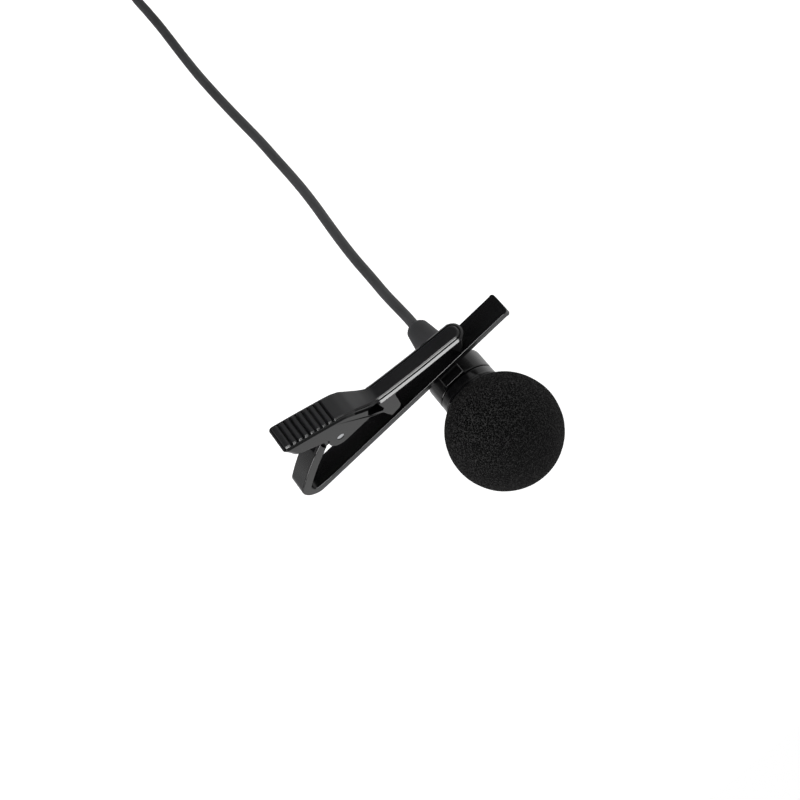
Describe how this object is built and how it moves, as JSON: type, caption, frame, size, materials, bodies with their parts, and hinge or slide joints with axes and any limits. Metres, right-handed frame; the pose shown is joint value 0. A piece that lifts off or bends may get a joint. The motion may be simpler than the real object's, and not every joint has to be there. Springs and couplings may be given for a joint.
{
  "type": "lavalier microphone",
  "caption": "Clip-on lavalier microphone: electret capsule in a black head with a foam ball, sprung garment clip with a collar, thin cord to a 3.5 mm jack plug.",
  "frame": {"origin": "bite point of the garment clip, on the inner face of the fixed plate, midway across its width", "axes": "+X along the jaws towards their tip, +Y from the plate towards the lever, +Z along the microphone towards its foam"},
  "size_m": [0.074, 0.0758, 0.1551],
  "materials": {
    "clip_plastic": "satin moulded black, fine texture",
    "head_finish": "satin black lacquer",
    "foam": "open-cell charcoal foam",
    "boot_rubber": "matte black rubber",
    "cable_jacket": "matte dark grey jacket",
    "steel": "bright drawn wire and pin",
    "can_metal": "drawn can",
    "grille_metal": "dark etched grille",
    "gold_contact": "gold-plated",
    "film": "metallised film",
    "spacer_plastic": "clear amber film",
    "holder_plastic": "ivory moulding",
    "board": "green solder mask",
    "chip_plastic": "black epoxy",
    "felt": "dense felt",
    "wire_red": "red insulation",
    "wire_copper": "bare copper",
    "plug_shell": "black moulded shell",
    "plug_insulator": "black insulator rings",
    "strap": "black hook-and-loop tape"
  },
  "bodies": {
    "clip": {"clip_base": "clip_plastic", "hinge_pin": "steel", "torsion_spring": "steel"},
    "lever": {"clip_lever": "clip_plastic"},
    "microphone": {"head_shell": "head_finish", "front_grille": "grille_metal", "acoustic_felt": "felt", "capsule_can": "can_metal", "diaphragm_ring": "gold_contact", "diaphragm": "film", "spacer_ring": "spacer_plastic", "backplate": "gold_contact", "backplate_holder": "holder_plastic", "contact_ring": "gold_contact", "fet_chip": "chip_plastic", "capsule_board": "board", "capsule_gasket": "boot_rubber", "signal_wire": "wire_red", "shield_wire": "wire_copper", "cable_crimp": "steel", "strain_boot": "boot_rubber", "cable_core": "cable_jacket", "cord_lead": "cable_jacket", "cord_coil": "cable_jacket", "cord_tail": "cable_jacket", "cable_tie": "strap", "plug_boot": "boot_rubber", "plug_barrel": "plug_shell", "plug_sleeve": "gold_contact", "plug_ring": "gold_contact", "plug_tip": "gold_contact", "plug_insulators": "plug_insulator"},
    "foam": {"windscreen": "foam"}
  },
  "joints": [
    {"name": "lever_hinge", "type": "hinge", "parent": "clip", "child": "lever", "pos_m": [-0.02385, 0.0097, 0], "axis": [0, 0, 1], "range_deg": [0, 20], "stiffness_Nm_per_rad": 0.015, "springref_deg": -5.73, "deforming": ["torsion_spring"]},
    {"name": "mic_twist", "type": "hinge", "parent": "clip", "child": "microphone", "pos_m": [-0.0047, -0.0075, 0], "axis": [0, 0, 1], "range_deg": [-90, 90]},
    {"name": "windscreen_pull", "type": "slide", "parent": "microphone", "child": "foam", "axis": [0, 0, 1], "range_m": [0, 0.02]}
  ]
}
